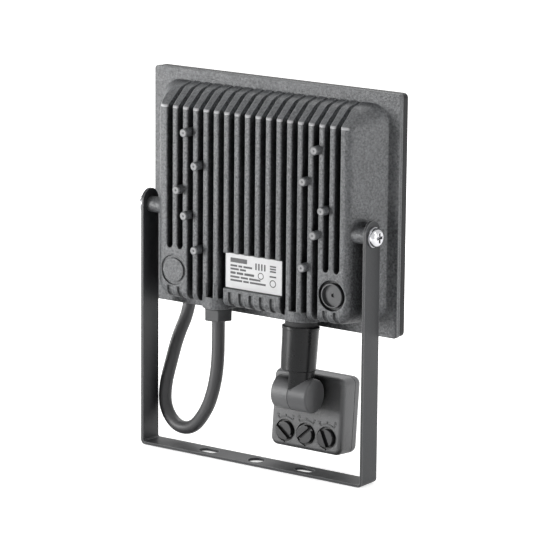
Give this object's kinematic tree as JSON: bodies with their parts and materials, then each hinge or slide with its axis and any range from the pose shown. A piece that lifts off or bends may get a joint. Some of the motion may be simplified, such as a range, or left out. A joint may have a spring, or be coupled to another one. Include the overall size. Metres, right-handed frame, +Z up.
{
  "type": "motion sensor floodlight",
  "caption": "Slim floodlight with a finned cast body on a U-shaped strip bracket, with a cable loop and a tilting motion sensor head on a short neck below it.",
  "frame": {"origin": "centre of the round hole on the underside of the bracket's crossbar", "axes": "+Z up along the bracket's legs, -Y the way the light shines, +X to the right seen from the light side"},
  "size_m": [0.1836, 0.052, 0.2396],
  "materials": {
    "bracket_steel": "satin powder coat",
    "casting": "fine textured powder coat",
    "frame_coat": "smooth powder coat",
    "bright_screw": "polished",
    "steel_screw": "plain",
    "pane": "clear",
    "silicone": "matt",
    "white_tray": "semi-gloss",
    "metal_board": "white lacquer",
    "light_source": "gloss",
    "driver_case": "matt",
    "terminal_case": "matt",
    "plate": "matt",
    "vent_plastic": "matt",
    "gland_plastic": "semi-gloss",
    "black_rubber": "matt",
    "cable_sheath": "matt",
    "brown_core": "satin",
    "blue_core": "satin",
    "earth_core": "satin",
    "sensor_plastic": "semi-gloss",
    "lens_plastic": "milky",
    "circuit_board": "satin",
    "sensor_can": "plain",
    "dial_case": "matt",
    "knob_plastic": "semi-gloss"
  },
  "bodies": {
    "bracket": {"bracket_crossbar": "bracket_steel", "bracket_leg_left": "bracket_steel", "bracket_leg_right": "bracket_steel"},
    "lamp": {"housing": "casting", "bracket_screws": "bright_screw", "bracket_washers": "steel_screw", "front_frame": "frame_coat", "front_glass": "pane", "glass_gasket": "silicone", "reflector": "white_tray", "led_board": "metal_board", "led_chips": "light_source", "driver_parts": "driver_case", "board_screws": "steel_screw", "terminal_block": "terminal_case", "rating_plate": "plate", "vent_plug": "vent_plastic", "cable_nut": "gland_plastic", "cable_washer": "black_rubber", "cable_seal": "black_rubber", "power_cable": "cable_sheath", "conductor_brown": "brown_core", "conductor_blue": "blue_core", "conductor_earth": "earth_core"},
    "neck": {"sensor_neck": "sensor_plastic", "neck_ring": "black_rubber", "neck_nut": "sensor_plastic", "pivot_screw": "steel_screw"},
    "head": {"head_rear_shell": "sensor_plastic", "head_front_shell": "sensor_plastic", "sensor_lens": "lens_plastic", "sensor_board": "circuit_board", "pyro_sensor": "sensor_can", "dial_controls": "dial_case", "head_screws": "steel_screw"},
    "knob_1": {"knob_1": "knob_plastic"},
    "knob_2": {"knob_2": "knob_plastic"},
    "knob_3": {"knob_3": "knob_plastic"}
  },
  "joints": [
    {"name": "lamp_tilt", "type": "hinge", "parent": "bracket", "child": "lamp", "pos_m": [0, 0, 0.1546], "axis": [-1, 0, 0], "range_deg": [-5, 180]},
    {"name": "sensor_pan", "type": "hinge", "parent": "lamp", "child": "neck", "pos_m": [-0.0314, -0.0022, 0.0952], "axis": [0, -0.0906, 0.9959], "range_deg": [-90, 90]},
    {"name": "sensor_tilt", "type": "hinge", "parent": "neck", "child": "head", "pos_m": [-0.0314, 0.00191, 0.05009], "axis": [1, 0, 0], "range_deg": [-5, 60]},
    {"name": "knob_1_turn", "type": "hinge", "parent": "head", "child": "knob_1", "pos_m": [-0.0469, -0.00818, 0.02186], "axis": [0, 0.9959, 0.0906], "range_deg": [-135, 135]},
    {"name": "knob_2_turn", "type": "hinge", "parent": "head", "child": "knob_2", "pos_m": [-0.0314, -0.00818, 0.02186], "axis": [0, 0.9959, 0.0906], "range_deg": [-135, 135]},
    {"name": "knob_3_turn", "type": "hinge", "parent": "head", "child": "knob_3", "pos_m": [-0.0159, -0.00818, 0.02186], "axis": [0, 0.9959, 0.0906], "range_deg": [-135, 135]}
  ]
}
